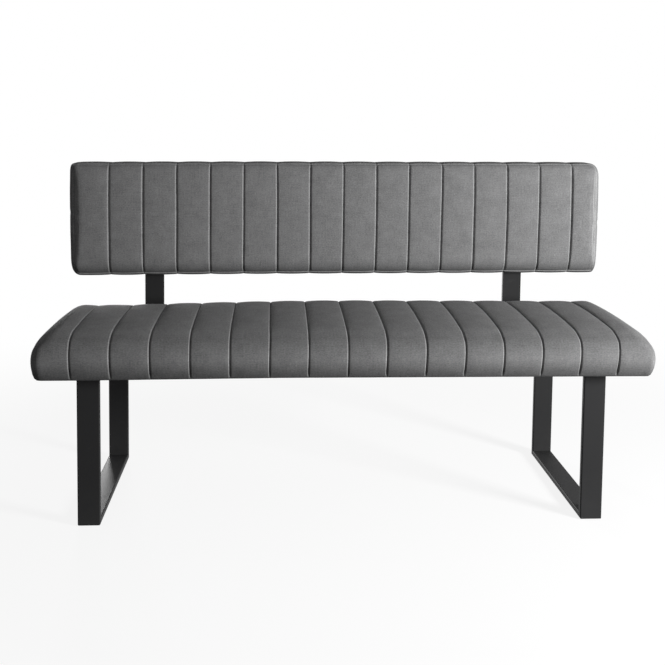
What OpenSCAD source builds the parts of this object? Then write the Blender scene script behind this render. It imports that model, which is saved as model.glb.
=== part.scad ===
// Upholstered bench with a backrest, on two flat steel leg frames.
// Millimetres, +Z up, front towards -Y. The origin is on the floor, under the
// middle of the bench's bounding box.

/* [Overall] */
// Width of the seat and of the backrest
bench_w = 1400; // [1200:10:1600]
// Height of the underside of the seat above the floor
seat_base_z = 365; // [320:5:430]
// Number of sewn channels across each cushion
channels = 16; // [12:1:20]
// Depth of the groove at each channel's seam
groove_depth = 5; // [2:0.5:7]

/* [Seat cushion] */
// Depth of the seat, front to back
seat_depth = 390; // [370:5:460]
// Thickness of the seat at the middle of its crown
seat_thick = 120; // [112:1:140]
// Rise of the crown over the front and rear edges
seat_crown = 8; // [2:1:12]
// Swell of the front face between its edges
seat_bulge = 3; // [1:1:6]
// Radius of the rounded top front edge
seat_front_r = 52; // [44:1:60]
// Radius of the rounded top rear edge
seat_rear_r = 60; // [44:1:70]
// Radius of the bottom edges where the cover turns under
seat_hem_r = 17; // [10:1:22]
// Radius of the seat's corners, seen from above and from the front
seat_corner_r = 40; // [32:1:45]
// Distance that the bottom of each end is drawn in
seat_draw_in = 8; // [2:1:10]
// Distance that the seat reaches in front of the leg frames
seat_overhang = 84; // [40:2:110]

/* [Backrest] */
// Height of the bottom of the backrest above the floor
back_z0 = 528; // [510:2:600]
// Height of the backrest cushion itself
back_h = 298; // [270:2:380]
// Thickness of the backrest, rear panel included
back_thick = 78; // [68:1:90]
// Swell of the front face of the backrest
back_crown = 5; // [2:1:8]
// Radius of the front edges of the backrest
back_edge_r = 17; // [12:1:20]
// Radius of the rear edges of the backrest
back_rear_r = 8; // [4:1:10]
// Radius of the backrest's four corners, seen from the front
back_corner_r = 24; // [20:1:34]
// Sideways offset of the backrest's seams from an even division
back_seam_shift = 10; // [-12:1:12]

/* [Leg frames] */
// Depth of each leg frame, front to back
leg_frame_d = 418; // [380:2:480]
// Width of the flat tube, seen from the front
leg_w = 52; // [44:1:64]
// Thickness of the flat tube
leg_t = 14; // [12:1:25]
// Wall of the flat tube
leg_wall = 2; // [1.5:0.5:3]
// Radius of the tube's edges
leg_edge_r = 3; // [2.5:0.5:5]
// Distance from the end of the seat to the outer face of a leg frame
leg_inset = 85; // [60:5:100]
// Distance of the outer bolts from the ends of a leg frame
leg_bolt_inset = 70; // [60:5:80]
// Thickness of the plastic glides
glide_t = 2; // [1:0.5:5]
// Width of a glide
glide_w = 40; // [24:1:44]
// Length of a glide
glide_l = 46; // [30:1:60]
// Distance of a glide from the end of its runner
glide_inset = 12; // [8:1:30]
// Diameter of the stem that plugs a glide into its runner
glide_stem_d = 8; // [6:0.5:10]
// Length of that stem
glide_stem_l = 6; // [4:0.5:8]

/* [Back brackets] */
// Gap between a bracket and the leg frame beside it, seen from the front
bracket_gap = 48; // [10:2:120]
// Width of the flat steel
bracket_w = 50; // [40:1:60]
// Thickness of the flat steel
bracket_t = 10; // [8:1:12]
// Height that the upright covers on the back of the backrest
post_cover_h = 220; // [180:5:240]
// Length of the arm under the seat
arm_l = 330; // [300:5:350]
// Size of the weld bead between the arm and the upright
weld = 6; // [4:1:8]
// Distance of the end bolts from the ends of what they fasten
bracket_bolt_inset = 35; // [25:1:45]

/* [Seat frame] */
// Height of the wooden rails
rail_h = 40; // [34:1:44]
// Thickness of the outer wooden rails
rail_t = 30; // [24:1:36]
// Thickness of the plywood deck
deck_t = 12; // [9:1:15]
// Thickness of the quilted cover and its wadding on the top and the front
quilt_t = 18; // [15:1:20]
// Thickness of the cover and its wadding at the ends and the rear
side_t = 20; // [17:1:22]
// Width of the cover's hem turned under the frame
hem_w = 32; // [24:1:40]
// Radius of the foam's top front and rear edges
foam_edge_r = 38; // [30:1:40]
// Thickness of the backrest's plywood board
board_t = 15; // [12:1:18]

/* [Fasteners] */
// Diameter of the bolts
bolt_d = 8; // [6:1:8]
// Diameter of the bolt heads
bolt_head_d = 14; // [12:1:14]
// Height of the bolt heads
bolt_head_h = 4.4; // [3:0.1:5]
// Diameter of the washers
washer_d = 20; // [18:1:24]
// Thickness of the washers
washer_t = 1.6; // [1:0.1:2]
// Diameter of the nut's flange
t_nut_flange_d = 22; // [18:1:26]
// Thickness of the nut's flange
t_nut_flange_t = 1.5; // [1:0.1:2]
// Outer diameter of the nut's barrel
t_nut_barrel_d = 10; // [9.5:0.5:11]
// Length of the nut's barrel
t_nut_barrel_l = 9; // [7:0.5:11]
// Number of screws along each long rail of the deck
deck_screws_per_rail = 6; // [3:1:8]
// Number of staples along each long side of the underside
staples_per_side = 14; // [8:1:20]

/* [Hidden] */

// Thin sheets, clearances and small fastener sizes
dust_t = 0.7;
hem_t = 0.8;
rear_cover_t = 1;
soft_gap = 0.3;
hole_gap = 0.5;
barrel_gap = 0.2;
thread_gap = 0.2;
overrun = 1;
head_margin = 0.5;
bolt_tip_gap = 2;
socket_d = 5.8;
socket_depth = 2.4;
screw_d = 4;
screw_head_d = 8;
screw_head_h = 2.6;
screw_l = 35;
staple_wire = 0.7;
staple_crown = 10;
staple_leg = 9;
rear_cover_inset = 9;
round_fn = 48;
hex_fn = 6;

// Places along the depth of the bench
bench_d = seat_overhang + leg_frame_d;
y_front = -bench_d / 2;
y_rear = bench_d / 2;
leg_y0 = y_front + seat_overhang;
seat_y1 = y_front + seat_depth;
post_y1 = y_rear - washer_t - bolt_head_h - head_margin;
post_y0 = post_y1 - bracket_t;
back_y0 = post_y0 - back_thick;

// Levels of the seat, from the underside up
hem_z0 = seat_base_z + dust_t;
frame_z0 = hem_z0 + hem_t;
deck_z0 = frame_z0 + rail_h;
foam_z0 = deck_z0 + deck_t;
seat_top = seat_base_z + seat_thick;
foam_z1 = seat_top - quilt_t;

// Outline of the wooden frame inside the seat cover
core_x = bench_w / 2 - side_t;
core_y0 = y_front + side_t;
core_y1 = seat_y1 - side_t;
cross_y0 = core_y0 + rail_t;
cross_y1 = core_y1 - rail_t;

// Layers of the backrest, from the rear forwards
board_y1 = post_y0 - rear_cover_t - hem_t;
board_y0 = board_y1 - board_t;
back_foam_y0 = back_y0 + quilt_t;
back_core_z0 = back_z0 + side_t;
back_core_z1 = back_z0 + back_h - side_t;

// Leg frames, brackets and the bolts that carry them
leg_cx = bench_w / 2 - leg_inset - leg_w / 2;
leg_h = seat_base_z - glide_t;
leg_bolt_ys = [leg_y0 + leg_bolt_inset, seat_y1 - leg_bolt_inset];
bracket_x = leg_cx - leg_w / 2 - bracket_gap - bracket_w / 2;
arm_y0 = post_y0 - arm_l;
arm_z0 = seat_base_z - bracket_t;
arm_bolt_y0 = arm_y0 + bracket_bolt_inset;
arm_bolt_y1 = seat_y1 - leg_bolt_inset;
arm_bolt_ys = [arm_bolt_y0, (arm_bolt_y0 + arm_bolt_y1) / 2, arm_bolt_y1];
post_z1 = back_z0 + post_cover_h;
post_bolt_z0 = back_core_z0 + hem_w + washer_d / 2;
post_bolt_z1 = post_z1 - bracket_bolt_inset;
post_bolt_zs = [post_bolt_z0, (post_bolt_z0 + post_bolt_z1) / 2, post_bolt_z1];
leg_bolt_l = washer_t + leg_t + dust_t + hem_t + rail_h - t_nut_flange_t - bolt_tip_gap;
arm_bolt_l = washer_t + bracket_t + dust_t + hem_t + rail_h - t_nut_flange_t - bolt_tip_gap;
back_bolt_l = washer_t + bracket_t + rear_cover_t + hem_t + board_t - t_nut_flange_t - bolt_tip_gap;

fabric_grey = [0.42, 0.42, 0.42];
foam_cream = [0.92, 0.86, 0.66];
pine = [0.80, 0.66, 0.45];
plywood = [0.72, 0.56, 0.36];
black_steel = [0.13, 0.13, 0.13];
zinc = [0.66, 0.67, 0.69];
black_cloth = [0.08, 0.08, 0.08];
black_plastic = [0.06, 0.06, 0.06];

// Sewn channels: stations along X and the depth of the groove at each

// Share of a channel from its seam to the flat of its crest
crest_share = 0.24;
// Angles at which the rounded ends are cut into stations
end_angles = [0, 30, 60, 90];

function pitch() = bench_w / channels;
function seam_x(i, shift) = -bench_w / 2 + shift + i * pitch();
function end_offsets(r) = [for (a = end_angles) r * (1 - cos(a))];
function reversed(list) = [for (i = [len(list) - 1:-1:0]) list[i]];

// Stations: [x, share of the groove's depth, distance from the nearer end]
function stations(r, shift) = concat(
    [for (o = end_offsets(r)) [-bench_w / 2 + o, 0, o]],
    [[seam_x(1 - crest_share, shift), 0, r]],
    [for (i = [1:channels - 2]) for (s = [0, crest_share, 1 - crest_share])
        [seam_x(i + s, shift), s == 0 ? 1 : 0, r]],
    [[seam_x(channels - 1, shift), 1, r], [seam_x(channels - 1 + crest_share, shift), 0, r]],
    [for (o = reversed(end_offsets(r))) [bench_w / 2 - o, 0, o]]
);

// Distance that a quarter round of radius r falls back at o from the end
function fall_back(o, r) = o >= r ? 0 : r - sqrt(r * r - (r - o) * (r - o));

// Points of an outline along an arc: [y, z, normal y, normal z, groove share]
function edge_arc(cy, cz, r, a0, a1, shares) = [
    for (k = [0:len(shares) - 1]) let (a = a0 + (a1 - a0) * k / (len(shares) - 1))
        [cy + r * cos(a), cz + r * sin(a), cos(a), sin(a), shares[k]]
];

// Share of a crown's full height at share s of its span
function bow(s) = 4 * s * (1 - s);

// Outline of the seat from its front hem, over the top, to its rear hem. The
// shares say how deep the seam's groove is at each point of an edge.
seat_edge_z = seat_top - seat_crown;
seat_face_y = y_front + seat_bulge;
crown_y0 = seat_face_y + seat_front_r;
crown_y1 = seat_y1 - seat_rear_r;
front_hem_shares = [0, 0.4, 1];
front_top_shares = [1, 1, 1, 1, 1];
crown_shares = [0.25, 0.5, 0.75];
rear_top_shares = [1, 1, 0.7, 0.2];
rear_hem_shares = [0, 0];
seat_outline = concat(
    edge_arc(seat_face_y + seat_hem_r, hem_z0 + seat_hem_r, seat_hem_r, 270, 180, front_hem_shares),
    [[y_front, (hem_z0 + seat_hem_r + seat_edge_z - seat_front_r) / 2, -1, 0, 1]],
    edge_arc(crown_y0, seat_edge_z - seat_front_r, seat_front_r, 180, 90, front_top_shares),
    [for (s = crown_shares)
        [crown_y0 + s * (crown_y1 - crown_y0), seat_edge_z + bow(s) * seat_crown, 0, 1, 1]],
    edge_arc(crown_y1, seat_edge_z - seat_rear_r, seat_rear_r, 90, 0, rear_top_shares),
    edge_arc(seat_y1 - seat_hem_r, hem_z0 + seat_hem_r, seat_hem_r, 0, -90, rear_hem_shares)
);

// Outline of the backrest from its rear bottom edge, over the front, to its rear top edge
back_rear_y = post_y0 - rear_cover_t;
back_z1 = back_z0 + back_h;
back_face_y = back_y0 + back_crown;
face_z0 = back_z0 + back_edge_r;
face_z1 = back_z1 - back_edge_r;
back_rear_shares = [0, 0];
back_edge_shares = [0, 0.3, 0.8, 1];
face_shares = [0.2, 0.5, 0.8];
back_outline = concat(
    edge_arc(back_rear_y - back_rear_r, back_z0 + back_rear_r, back_rear_r, 0, -90, back_rear_shares),
    edge_arc(back_face_y + back_edge_r, face_z0, back_edge_r, 270, 180, back_edge_shares),
    [for (s = face_shares)
        [back_face_y - bow(s) * back_crown, face_z0 + s * (face_z1 - face_z0), -1, 0, 1]],
    edge_arc(back_face_y + back_edge_r, face_z1, back_edge_r, 180, 90, reversed(back_edge_shares)),
    edge_arc(back_rear_y - back_rear_r, back_z1 - back_rear_r, back_rear_r, 90, 0, back_rear_shares)
);

// One closed pad, skinned over the rings of points at its stations
module swept_pad(rings) {
    m = len(rings[0]);
    n = len(rings);
    cap_0 = n * m;
    cap_1 = cap_0 + 1;
    middle = function(ring) [for (k = [0:2]) [for (p = ring) p[k]] * [for (p = ring) 1] / m];
    polyhedron(
        points = concat([for (ring = rings) each ring], [middle(rings[0]), middle(rings[n - 1])]),
        faces = concat(
            [for (i = [0:n - 2]) for (j = [0:m - 1]) let (k = (j + 1) % m)
                [i * m + j, i * m + k, (i + 1) * m + k]],
            [for (i = [0:n - 2]) for (j = [0:m - 1]) let (k = (j + 1) % m)
                [i * m + j, (i + 1) * m + k, (i + 1) * m + j]],
            [for (j = [0:m - 1]) [cap_0, (j + 1) % m, j]],
            [for (j = [0:m - 1]) [cap_1, (n - 1) * m + j, (n - 1) * m + (j + 1) % m]]
        )
    );
}

// A ring of the seat: the bottom stays flat while the ends round over and draw in
function seat_ring(st) = let (
    fall = fall_back(st[2], seat_corner_r),
    side = st[0] < 0 ? -1 : 1,
    mid_y = (y_front + seat_y1) / 2,
    ky = 1 - fall / (seat_depth / 2),
    kz = 1 - fall / (seat_top - hem_z0)
) [
    for (p = seat_outline) let (
        y = p[0] - p[2] * p[4] * st[1] * groove_depth,
        z = p[1] - p[3] * p[4] * st[1] * groove_depth,
        low = 1 - (z - hem_z0) / (seat_top - hem_z0),
        x = st[0] - side * seat_draw_in * low * low * (1 - st[2] / seat_corner_r)
    ) [x, mid_y + (y - mid_y) * ky, hem_z0 + (z - hem_z0) * kz]
];

// A ring of the backrest: the corners round over and the front edge falls back
function back_ring(st) = let (
    fall = fall_back(st[2], back_corner_r),
    front_fall = fall_back(st[2], back_edge_r),
    mid_z = back_z0 + back_h / 2,
    ky = 1 - front_fall / (back_rear_y - back_y0),
    kz = 1 - fall / (back_h / 2)
) [
    for (p = back_outline) let (
        y = p[0] - p[2] * p[4] * st[1] * groove_depth,
        z = p[1] - p[3] * p[4] * st[1] * groove_depth
    ) [st[0], back_rear_y + (y - back_rear_y) * ky, mid_z + (z - mid_z) * kz]
];

// Points of the foam's top edge round y, its corner radius grown by g
core_edge_shares = [0, 0, 0, 0, 0];
function core_edge(y, g, a0, a1) = [
    for (p = edge_arc(y, foam_z1 - foam_edge_r, foam_edge_r + g, a0, a1, core_edge_shares)) [p[0], p[1]]
];

// Side profile of the foam and frame inside the seat, grown by g, from z up
function seat_core(z, g) = concat(
    [[core_y0 - g, z]],
    core_edge(core_y0 + foam_edge_r, g, 180, 90),
    core_edge(core_y1 - foam_edge_r, g, 90, 0),
    [[core_y1 + g, z]]
);

// A side profile in Y and Z, drawn out along X to both sides of the middle
module along_x(half) {
    translate([-half, 0, 0]) rotate([90, 0, 90]) linear_extrude(2 * half) children();
}

// A box from its lowest corner to its highest
module block(lo, hi) {
    translate(lo) cube(hi - lo);
}

// A rod or hole along +Z, and one along +Y
module rod_z(p, d, l) {
    translate(p) cylinder(d = d, h = l, $fn = round_fn);
}
module rod_y(p, d, l) {
    translate(p) rotate([-90, 0, 0]) cylinder(d = d, h = l, $fn = round_fn);
}

// Upholstery and frame of the seat

module seat_cover() {
    color(fabric_grey) difference() {
        swept_pad([for (st = stations(seat_corner_r, 0)) seat_ring(st)]);
        along_x(core_x + soft_gap) polygon(seat_core(frame_z0, soft_gap));
        block(
            [-core_x + hem_w, core_y0 + hem_w, hem_z0 - overrun],
            [core_x - hem_w, core_y1 - hem_w, frame_z0 + overrun]
        );
    }
}

module seat_foam() {
    color(foam_cream) along_x(core_x) polygon(seat_core(foam_z0, 0));
}

// Columns of deck screws: one over each end of a long rail, the rest evenly between
screw_x1 = core_x - rail_t / 2;
screw_pitch = 2 * screw_x1 / (deck_screws_per_rail - 1);
module at_deck_screws() {
    for (i = [0:deck_screws_per_rail - 1]) for (y = [core_y0 + rail_t / 2, core_y1 - rail_t / 2])
        translate([-screw_x1 + i * screw_pitch, y, foam_z0]) children();
}

// A countersunk screw, head up, grown by g for its hole
module deck_screw(g) {
    translate([0, 0, -screw_head_h])
        cylinder(d1 = screw_d + g, d2 = screw_head_d + g, h = screw_head_h, $fn = round_fn);
    rod_z([0, 0, -screw_l - g], screw_d + g, screw_l - screw_head_h + 2 * g);
}

module seat_deck() {
    color(plywood) difference() {
        block([-core_x, core_y0, deck_z0], [core_x, core_y1, foam_z0]);
        at_deck_screws() deck_screw(thread_gap);
    }
}

module deck_screws() {
    color(zinc) at_deck_screws() deck_screw(0);
}

module long_rail(y) {
    color(pine) difference() {
        block([-core_x, y, frame_z0], [core_x, y + rail_t, deck_z0]);
        at_deck_screws() deck_screw(thread_gap);
    }
}
module seat_front_rail() { long_rail(core_y0); }
module seat_rear_rail() { long_rail(cross_y1); }

module end_rail(x) {
    color(pine) block([x, cross_y0, frame_z0], [x + rail_t, cross_y1, deck_z0]);
}
module seat_left_rail() { end_rail(-core_x); }
module seat_right_rail() { end_rail(core_x - rail_t); }

// Hole for a bolt and the nut let into the top of a cross rail
module rail_nut_hole(x, y) {
    barrel_z0 = deck_z0 - t_nut_flange_t - t_nut_barrel_l - bolt_tip_gap;
    rod_z([x, y, frame_z0 - overrun], bolt_d + hole_gap, rail_h + 2 * overrun);
    rod_z([x, y, barrel_z0], t_nut_barrel_d + barrel_gap, rail_h);
    rod_z([x, y, deck_z0 - t_nut_flange_t], t_nut_flange_d + barrel_gap, rail_h);
}

module cross_rail(x, w, ys) {
    color(pine) difference() {
        block([x - w / 2, cross_y0, frame_z0], [x + w / 2, cross_y1, deck_z0]);
        for (y = ys) rail_nut_hole(x, y);
    }
}
module left_leg_cross_rail() { cross_rail(-leg_cx, leg_w, leg_bolt_ys); }
module right_leg_cross_rail() { cross_rail(leg_cx, leg_w, leg_bolt_ys); }
module left_arm_cross_rail() { cross_rail(-bracket_x, bracket_w, arm_bolt_ys); }
module right_arm_cross_rail() { cross_rail(bracket_x, bracket_w, arm_bolt_ys); }
module centre_cross_rail() { cross_rail(0, bracket_w, []); }

// A nut with a flange on top and its barrel hanging down
t_nut_h = t_nut_flange_t + t_nut_barrel_l;
module t_nut() {
    difference() {
        union() {
            rod_z([0, 0, -t_nut_flange_t], t_nut_flange_d, t_nut_flange_t);
            rod_z([0, 0, -t_nut_h], t_nut_barrel_d, t_nut_h - t_nut_flange_t / 2);
        }
        rod_z([0, 0, -t_nut_h - overrun], bolt_d + thread_gap, t_nut_h + 2 * overrun);
    }
}

module seat_t_nuts() {
    color(zinc) {
        for (x = [-leg_cx, leg_cx]) for (y = leg_bolt_ys) translate([x, y, deck_z0]) t_nut();
        for (x = [-bracket_x, bracket_x]) for (y = arm_bolt_ys) translate([x, y, deck_z0]) t_nut();
    }
}

// Black cloth that closes the underside of the seat, its edge on the cover's hem
dust_edge_share = 0.25;
dust_inset = hem_w * dust_edge_share;
dust_x = core_x - dust_inset;
module bolt_holes_under_seat(z, t) {
    for (x = [-leg_cx, leg_cx]) for (y = leg_bolt_ys)
        rod_z([x, y, z - overrun], bolt_d + hole_gap, t + 2 * overrun);
    for (x = [-bracket_x, bracket_x]) for (y = arm_bolt_ys)
        rod_z([x, y, z - overrun], bolt_d + hole_gap, t + 2 * overrun);
}
module seat_dust_cover() {
    color(black_cloth) difference() {
        block([-dust_x, core_y0 + dust_inset, seat_base_z], [dust_x, core_y1 - dust_inset, hem_z0]);
        bolt_holes_under_seat(seat_base_z, dust_t);
    }
}

// A staple driven up: its crown under the cloth, its legs in the rail
module staple() {
    half_crown = staple_crown / 2;
    half_wire = staple_wire / 2;
    block([-half_crown, -half_wire, -staple_wire], [half_crown, half_wire, 0]);
    for (x = [-half_crown, half_crown - staple_wire])
        block([x, -half_wire, -staple_wire], [x + staple_wire, half_wire, staple_leg - staple_wire]);
}

// Staples stand clear of the steel that lies under the seat
function clear_of(x, cx, w) = abs(abs(x) - cx) > w / 2 + staple_crown;
staple_row_share = 0.6;
staple_inset = hem_w * staple_row_share;
staple_y0 = core_y0 + staple_inset;
staple_y1 = core_y1 - staple_inset;
staple_x1 = core_x - staple_inset;
staple_pitch = 2 * staple_x1 / (staples_per_side + 1);
end_staple_shares = [0.25, 0.5, 0.75];
module seat_staples() {
    color(zinc) {
        for (i = [1:staples_per_side]) let (x = -staple_x1 + i * staple_pitch)
            if (clear_of(x, leg_cx, leg_w) && clear_of(x, bracket_x, bracket_w))
                for (y = [staple_y0, staple_y1]) translate([x, y, seat_base_z]) staple();
        for (x = [-staple_x1, staple_x1]) for (s = end_staple_shares)
            translate([x, staple_y0 + s * (staple_y1 - staple_y0), seat_base_z]) rotate([0, 0, 90]) staple();
    }
}

// Upholstery and board of the backrest

module backrest_cover() {
    color(fabric_grey) difference() {
        swept_pad([for (st = stations(back_corner_r, back_seam_shift)) back_ring(st)]);
        block(
            [-core_x - soft_gap, back_foam_y0 - soft_gap, back_core_z0 - soft_gap],
            [core_x + soft_gap, board_y1, back_core_z1 + soft_gap]
        );
        block(
            [-core_x + hem_w, board_y1 - overrun, back_core_z0 + hem_w],
            [core_x - hem_w, back_rear_y + overrun, back_core_z1 - hem_w]
        );
    }
}

module backrest_foam() {
    color(foam_cream) block([-core_x, back_foam_y0, back_core_z0], [core_x, board_y0, back_core_z1]);
}

module at_post_bolts(y) {
    for (x = [-bracket_x, bracket_x]) for (z = post_bolt_zs) translate([x, y, z]) children();
}

module backrest_board() {
    color(plywood) difference() {
        block([-core_x, board_y0, back_core_z0], [core_x, board_y1, back_core_z1]);
        at_post_bolts(board_y0) {
            rod_y([0, -overrun, 0], bolt_d + hole_gap, board_t + 2 * overrun);
            rod_y([0, -overrun, 0], t_nut_barrel_d + barrel_gap, overrun + t_nut_h + bolt_tip_gap);
            rod_y([0, -overrun, 0], t_nut_flange_d + barrel_gap, overrun + t_nut_flange_t);
        }
    }
}

module backrest_t_nuts() {
    color(zinc) at_post_bolts(board_y0) rotate([90, 0, 0]) t_nut();
}

// A flat panel with round corners, in X and Z
module rounded_panel(w, h, r) {
    square([w - 2 * r, h], center = true);
    square([w, h - 2 * r], center = true);
    for (x = [r - w / 2, w / 2 - r]) for (z = [r - h / 2, h / 2 - r])
        translate([x, z]) circle(r = r, $fn = round_fn);
}

module backrest_rear_cover() {
    w = bench_w - 2 * rear_cover_inset;
    h = back_h - 2 * rear_cover_inset;
    color(fabric_grey) difference() {
        translate([0, post_y0, back_z0 + back_h / 2]) rotate([90, 0, 0])
            linear_extrude(rear_cover_t) rounded_panel(w, h, back_corner_r - rear_cover_inset);
        at_post_bolts(back_rear_y)
            rod_y([0, -overrun, 0], bolt_d + hole_gap, rear_cover_t + 2 * overrun);
    }
}

// Leg frames: four mitred pieces of flat tube each

module tube_section() {
    difference() {
        translate([leg_w / 2, leg_t / 2]) rounded_panel(leg_w, leg_t, leg_edge_r);
        translate([leg_wall, leg_wall]) square([leg_w - 2 * leg_wall, leg_t - 2 * leg_wall]);
    }
}

// A tube along +Y with its outer face down and both ends mitred
module mitred_tube(l) {
    intersection() {
        translate([0, l, 0]) rotate([90, 0, 0]) linear_extrude(l) tube_section();
        rotate([90, 0, 90]) linear_extrude(leg_w)
            polygon([[0, 0], [l, 0], [l - leg_t, leg_t], [leg_t, leg_t]]);
    }
}

module front_leg(x) {
    color(black_steel) translate([x, leg_y0, glide_t]) mirror([0, 1, -1]) mitred_tube(leg_h);
}
module rear_leg(x) {
    color(black_steel) translate([x, y_rear, glide_t])
        mirror([0, 1, 0]) mirror([0, 1, -1]) mitred_tube(leg_h);
}
module floor_runner(x) {
    cx = x + leg_w / 2;
    color(black_steel) difference() {
        translate([x, leg_y0, glide_t]) mitred_tube(leg_frame_d);
        for (y = glide_ys)
            rod_z([cx, y, glide_t - overrun], glide_stem_d + barrel_gap, leg_wall + 2 * overrun);
    }
}
module top_rail(x) {
    color(black_steel) difference() {
        translate([x, leg_y0, seat_base_z]) mirror([0, 0, 1]) mitred_tube(leg_frame_d);
        bolt_holes_under_seat(seat_base_z - leg_t, leg_t);
    }
}

left_x = -leg_cx - leg_w / 2;
right_x = leg_cx - leg_w / 2;
module left_front_leg() { front_leg(left_x); }
module left_rear_leg() { rear_leg(left_x); }
module left_floor_runner() { floor_runner(left_x); }
module left_top_rail() { top_rail(left_x); }
module right_front_leg() { front_leg(right_x); }
module right_rear_leg() { rear_leg(right_x); }
module right_floor_runner() { floor_runner(right_x); }
module right_top_rail() { top_rail(right_x); }

// Black plastic glides, plugged into the runners from below
glide_ys = [leg_y0 + glide_inset + glide_l / 2, y_rear - glide_inset - glide_l / 2];
module floor_glides() {
    color(black_plastic) for (x = [-leg_cx, leg_cx]) for (y = glide_ys) {
        block([x - glide_w / 2, y - glide_l / 2, 0], [x + glide_w / 2, y + glide_l / 2, glide_t]);
        rod_z([x, y, glide_t / 2], glide_stem_d, glide_t / 2 + glide_stem_l);
    }
}

// A round-headed bolt with its head down, its shank rising from the washer's lower face
bolt_crown_share = 0.7;
module bolt(l) {
    rod_z([0, 0, -overrun], bolt_d, l + overrun);
    difference() {
        translate([0, 0, -bolt_head_h])
            cylinder(d1 = bolt_head_d * bolt_crown_share, d2 = bolt_head_d, h = bolt_head_h, $fn = round_fn);
        translate([0, 0, -bolt_head_h - overrun])
            cylinder(d = socket_d, h = socket_depth + overrun, $fn = hex_fn);
    }
}
module washer() {
    difference() {
        rod_z([0, 0, 0], washer_d, washer_t);
        rod_z([0, 0, -overrun], bolt_d + hole_gap, washer_t + 2 * overrun);
    }
}

module at_leg_bolts() {
    for (x = [-leg_cx, leg_cx]) for (y = leg_bolt_ys)
        translate([x, y, seat_base_z - leg_t - washer_t]) children();
}
module leg_bolts() { color(zinc) at_leg_bolts() bolt(leg_bolt_l); }
module leg_washers() { color(zinc) at_leg_bolts() washer(); }

// Back brackets: an upright behind the backrest, welded to an arm under the seat

module back_post(x) {
    color(black_steel) difference() {
        block([x - bracket_w / 2, post_y0, arm_z0], [x + bracket_w / 2, post_y1, post_z1]);
        at_post_bolts(post_y0) rod_y([0, -overrun, 0], bolt_d + hole_gap, bracket_t + 2 * overrun);
    }
}
module back_arm(x) {
    color(black_steel) difference() {
        block([x - bracket_w / 2, arm_y0, arm_z0], [x + bracket_w / 2, post_y0, seat_base_z]);
        bolt_holes_under_seat(arm_z0, bracket_t);
    }
}
module left_back_post() { back_post(-bracket_x); }
module right_back_post() { back_post(bracket_x); }
module left_back_arm() { back_arm(-bracket_x); }
module right_back_arm() { back_arm(bracket_x); }

module bracket_welds() {
    color(black_steel) for (x = [-bracket_x, bracket_x])
        translate([x - bracket_w / 2, post_y0, seat_base_z])
            rotate([90, 0, 90]) linear_extrude(bracket_w) polygon([[0, 0], [-weld, 0], [0, weld]]);
}

module at_arm_bolts() {
    for (x = [-bracket_x, bracket_x]) for (y = arm_bolt_ys)
        translate([x, y, arm_z0 - washer_t]) children();
}
module arm_bolts() { color(zinc) at_arm_bolts() bolt(arm_bolt_l); }
module arm_washers() { color(zinc) at_arm_bolts() washer(); }

module backrest_bolts() {
    color(zinc) at_post_bolts(post_y1 + washer_t) rotate([90, 0, 0]) bolt(back_bolt_l);
}
module backrest_washers() {
    color(zinc) at_post_bolts(post_y1 + washer_t) rotate([90, 0, 0]) washer();
}

seat_cover();
seat_foam();
seat_deck();
seat_front_rail();
seat_rear_rail();
seat_left_rail();
seat_right_rail();
left_leg_cross_rail();
left_arm_cross_rail();
centre_cross_rail();
right_arm_cross_rail();
right_leg_cross_rail();
deck_screws();
seat_t_nuts();
seat_dust_cover();
seat_staples();
backrest_cover();
backrest_foam();
backrest_board();
backrest_rear_cover();
backrest_t_nuts();
left_front_leg();
left_rear_leg();
left_floor_runner();
left_top_rail();
right_front_leg();
right_rear_leg();
right_floor_runner();
right_top_rail();
floor_glides();
leg_bolts();
leg_washers();
left_back_post();
left_back_arm();
right_back_post();
right_back_arm();
bracket_welds();
arm_bolts();
arm_washers();
backrest_bolts();
backrest_washers();
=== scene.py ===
# Upholstered bench with a backrest, dressed round its packed construction, in metres
import math

import bpy
import numpy as np
from mathutils import Matrix, Vector


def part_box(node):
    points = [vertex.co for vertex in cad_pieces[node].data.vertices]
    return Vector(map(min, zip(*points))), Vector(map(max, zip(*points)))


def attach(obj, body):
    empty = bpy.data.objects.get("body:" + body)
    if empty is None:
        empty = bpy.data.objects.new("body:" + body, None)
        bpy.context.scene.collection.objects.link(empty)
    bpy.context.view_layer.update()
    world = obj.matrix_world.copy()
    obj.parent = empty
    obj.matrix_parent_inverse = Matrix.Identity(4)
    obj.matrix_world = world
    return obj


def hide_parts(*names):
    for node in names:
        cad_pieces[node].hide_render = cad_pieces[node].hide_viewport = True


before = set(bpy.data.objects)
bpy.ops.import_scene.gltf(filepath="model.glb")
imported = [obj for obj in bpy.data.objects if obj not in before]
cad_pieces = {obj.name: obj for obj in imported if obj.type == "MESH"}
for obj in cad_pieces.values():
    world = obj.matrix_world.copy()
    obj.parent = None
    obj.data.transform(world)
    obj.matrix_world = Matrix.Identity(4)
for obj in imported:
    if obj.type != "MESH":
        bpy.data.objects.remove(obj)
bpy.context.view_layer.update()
scene = bpy.context.scene


# The view: a camera in front of the bench, left of its middle and higher than the
# backrest. It looks almost level, and its frame is shifted down onto the bench.
frame_px = 665
focal_px = 917.0
centre_px = (326.0, 181.4)
film_width = 36.0
camera_place = Vector((-0.1651, -2.2447, 0.9541))
turned, tipped, rolled = 0.0553, 0.0731, -0.0110

ahead = Vector((math.sin(turned) * math.cos(tipped),
                math.cos(turned) * math.cos(tipped),
                -math.sin(tipped)))
level = Vector((math.cos(turned), -math.sin(turned), 0))
below = ahead.cross(level)
across = math.cos(rolled) * level + math.sin(rolled) * below
upward = math.sin(rolled) * level - math.cos(rolled) * below
camera_turn = Matrix((across, upward, -ahead)).transposed()

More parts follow.
